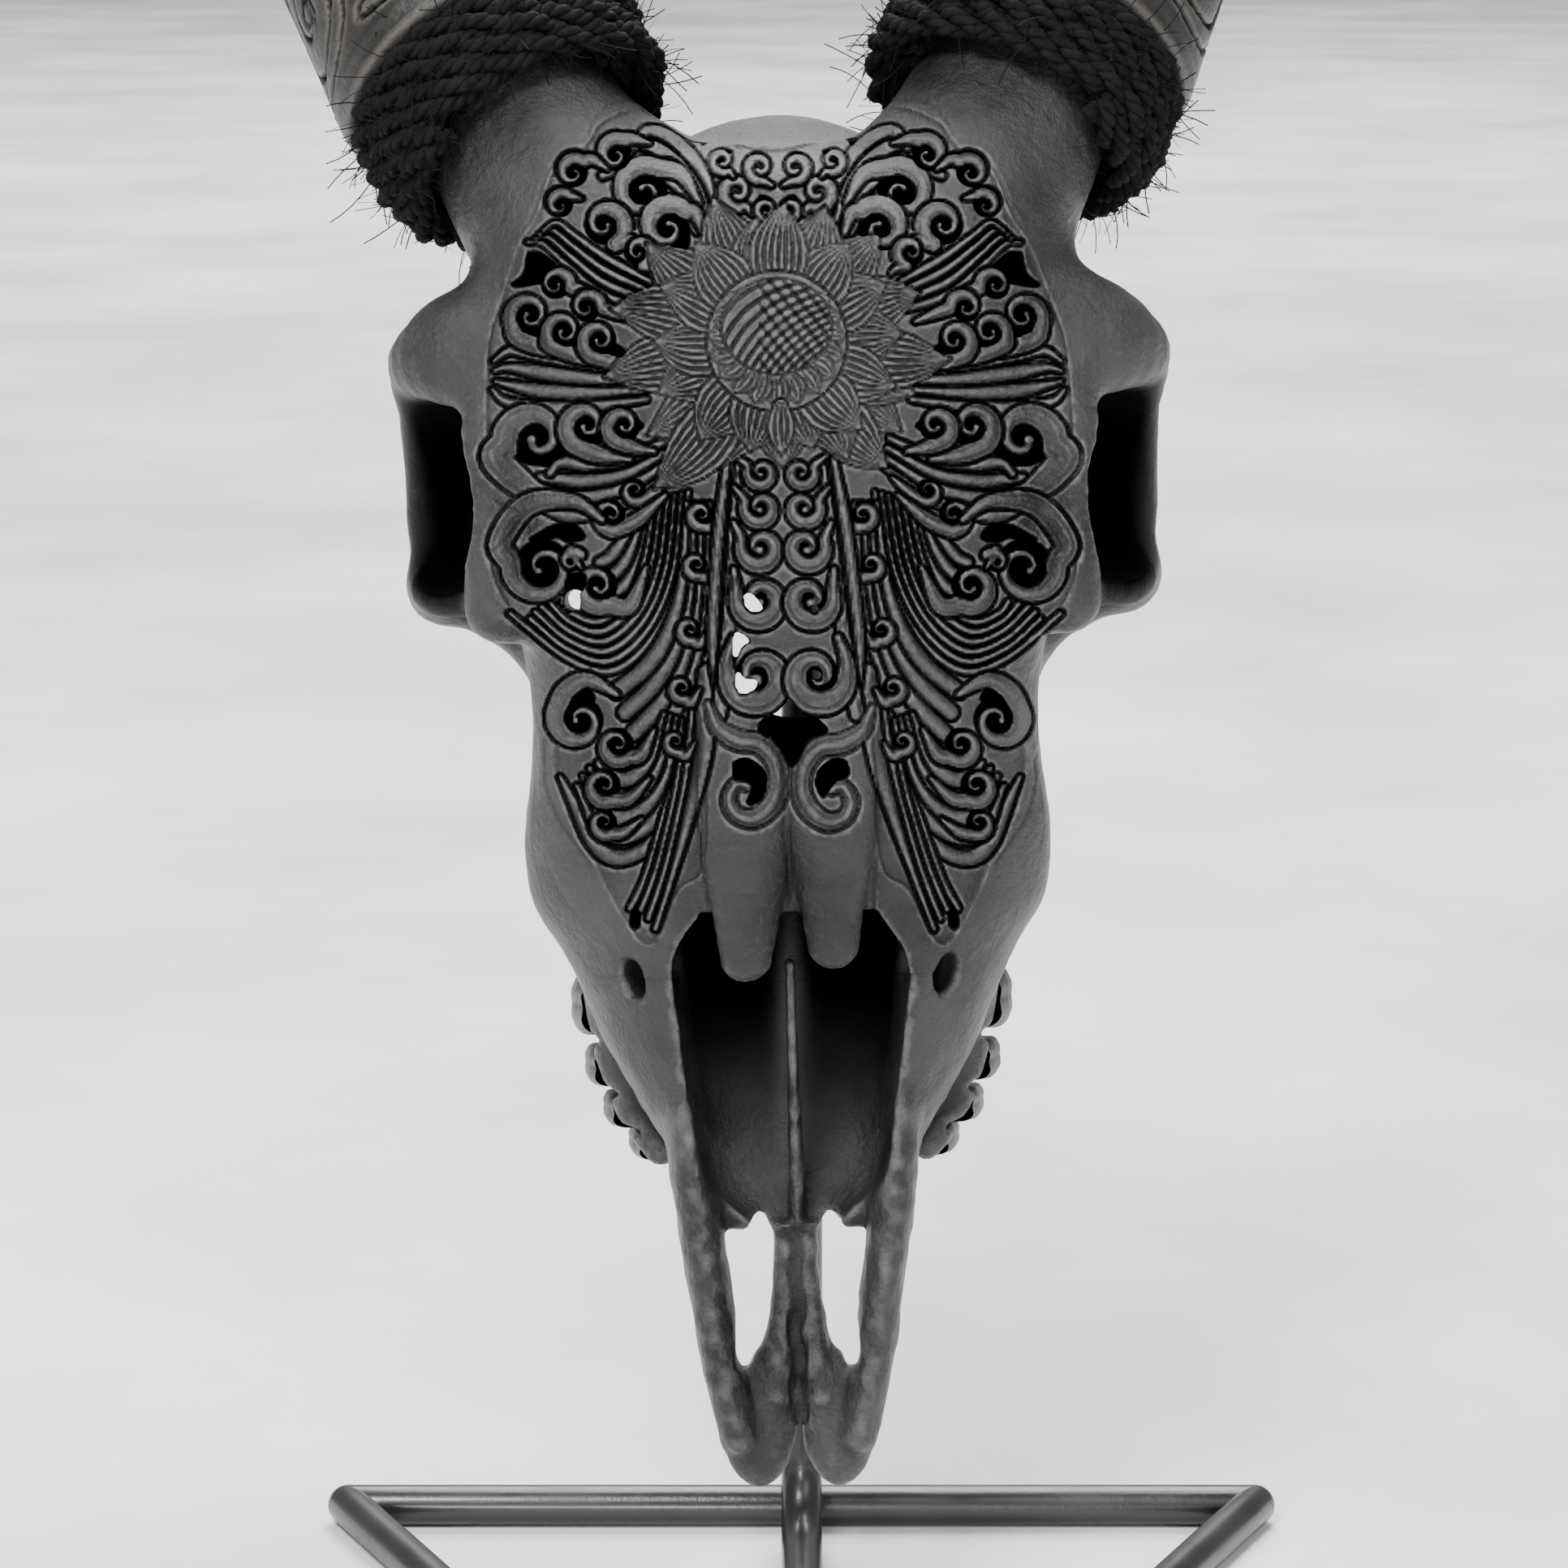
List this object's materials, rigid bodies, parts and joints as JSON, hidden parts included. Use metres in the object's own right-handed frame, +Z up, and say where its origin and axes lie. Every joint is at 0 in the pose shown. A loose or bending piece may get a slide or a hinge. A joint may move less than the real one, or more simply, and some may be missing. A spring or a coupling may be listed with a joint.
{
  "type": "carved goat skull",
  "caption": "Goat skull carved with a lotus and scroll foliage, with horn sheaths, rope wraps and cheek teeth, hung on a rod over a triangular bar base.",
  "frame": {"origin": "middle of the rear base bar's underside, on the floor", "axes": "+Z up; the face looks toward -Y; +X is the viewer's right"},
  "size_m": [0.3142, 0.3602, 0.3737],
  "materials": {
    "bone": "dark grey satin paint on carved bone, worn lighter on the ridges",
    "teeth": "dark paint over enamel, satin",
    "horn": "dark grey brown horn with growth ridges and carved bands, satin",
    "rope": "black twisted plant-fibre rope",
    "stand": "satin black powder coat"
  },
  "bodies": {
    "root": {"left_horn": "horn", "left_rope": "rope", "left_tooth_1": "teeth", "left_tooth_2": "teeth", "left_tooth_3": "teeth", "left_tooth_4": "teeth", "left_tooth_5": "teeth", "left_tooth_6": "teeth", "right_horn": "horn", "right_rope": "rope", "right_tooth_1": "teeth", "right_tooth_2": "teeth", "right_tooth_3": "teeth", "right_tooth_4": "teeth", "right_tooth_5": "teeth", "right_tooth_6": "teeth", "skull": "bone", "stand_left_bar": "stand", "stand_rear_bar": "stand", "stand_right_bar": "stand", "stand_rod": "stand"}
  },
  "joints": []
}
